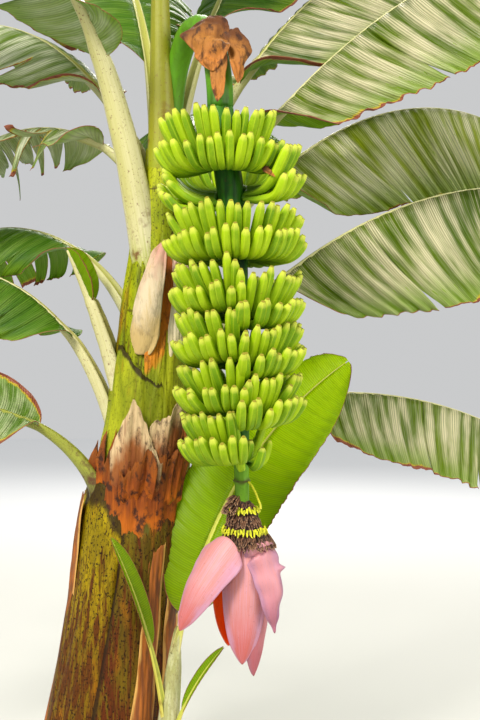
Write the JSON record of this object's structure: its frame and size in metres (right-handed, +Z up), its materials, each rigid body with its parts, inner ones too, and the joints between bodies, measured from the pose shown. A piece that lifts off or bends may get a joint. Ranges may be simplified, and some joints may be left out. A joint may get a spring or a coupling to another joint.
{
  "type": "banana plant",
  "caption": "Banana plant on a leaning false stem, with a crown of long arching leaves, a hanging bunch of green fruit over its pink bud, and a young side shoot.",
  "frame": {"origin": "centre of the flat cut under the false stem, at ground level", "axes": "+Z up, -Y towards the side where the bunch hangs, +X the way the crown leans"},
  "size_m": [2.8767, 2.3371, 3.3829],
  "materials": {
    "stem": "smooth olive-green leaf sheaths with dark brown blotches",
    "fruit_stalk": "smooth dark green stalk with pale scars",
    "petiole": "smooth waxy cream-green leaf stalk with a darker channel",
    "leaf": "satin green blade with fine cross ribs and a grey-green bloom beneath",
    "old_leaf": "dull ageing green blade with brown margins",
    "dry_leaf": "dry orange-brown leaf tissue",
    "dry_sheath": "papery cream to orange-brown dry sheath",
    "fruit": "smooth unripe yellow-green skin with soft ridges",
    "withered_flower": "dry dark brown flower remains with yellow scars",
    "bud": "satin pink to violet bracts with a fine bloom"
  },
  "bodies": {
    "root": {"pseudostem": "stem", "fruit_stalk": "fruit_stalk", "fruit_stalk_arch": "fruit_stalk", "leaf_front_inner": "leaf", "leaf_front_outer": "leaf", "leaf_back_1_inner": "leaf", "leaf_back_1_outer": "leaf", "leaf_back_2_inner": "leaf", "leaf_back_2_outer": "leaf", "leaf_left_1_inner": "leaf", "leaf_left_1_outer": "leaf", "leaf_left_2_inner": "leaf", "leaf_left_2_outer": "leaf", "leaf_left_3_inner": "leaf", "leaf_left_3_outer": "leaf", "leaf_left_4_inner": "leaf", "leaf_left_4_outer": "leaf", "leaf_left_6_inner": "leaf", "leaf_left_6_outer": "leaf", "leaf_right_0_inner": "leaf", "leaf_right_0_outer": "leaf", "leaf_right_1_inner": "leaf", "leaf_right_1_outer": "leaf", "leaf_right_2_inner": "leaf", "leaf_right_2_outer": "leaf", "leaf_right_3_inner": "leaf", "leaf_right_3_outer": "leaf", "leaf_right_4_inner": "leaf", "leaf_right_4_outer": "leaf", "leaf_right_5_inner": "leaf", "leaf_right_5_outer": "leaf", "stub_petiole": "petiole", "sheath_left": "stem", "sheath_right": "stem", "dry_sheath_low_1": "dry_sheath", "dry_sheath_low_2": "dry_sheath", "dry_sheath_high_1": "dry_sheath", "dry_sheath_high_2": "dry_sheath", "leaf_left_7": "old_leaf", "hands_1": "fruit", "hands_2": "fruit", "hands_3": "fruit", "hands_4": "fruit", "hands_5": "fruit", "hands_6": "fruit", "hands_7": "fruit", "hands_8": "fruit", "flower_remains": "withered_flower", "bud_core": "bud", "bud_bract_front": "bud", "bud_bract_left": "bud", "bud_bract_right": "bud", "bud_bract_low": "bud", "bud_bract_back": "bud", "dry_flag": "dry_leaf", "shoot_stem": "stem", "shoot_leaf_1": "leaf", "shoot_leaf_2": "leaf", "shoot_leaf_3": "leaf"}
  },
  "joints": []
}
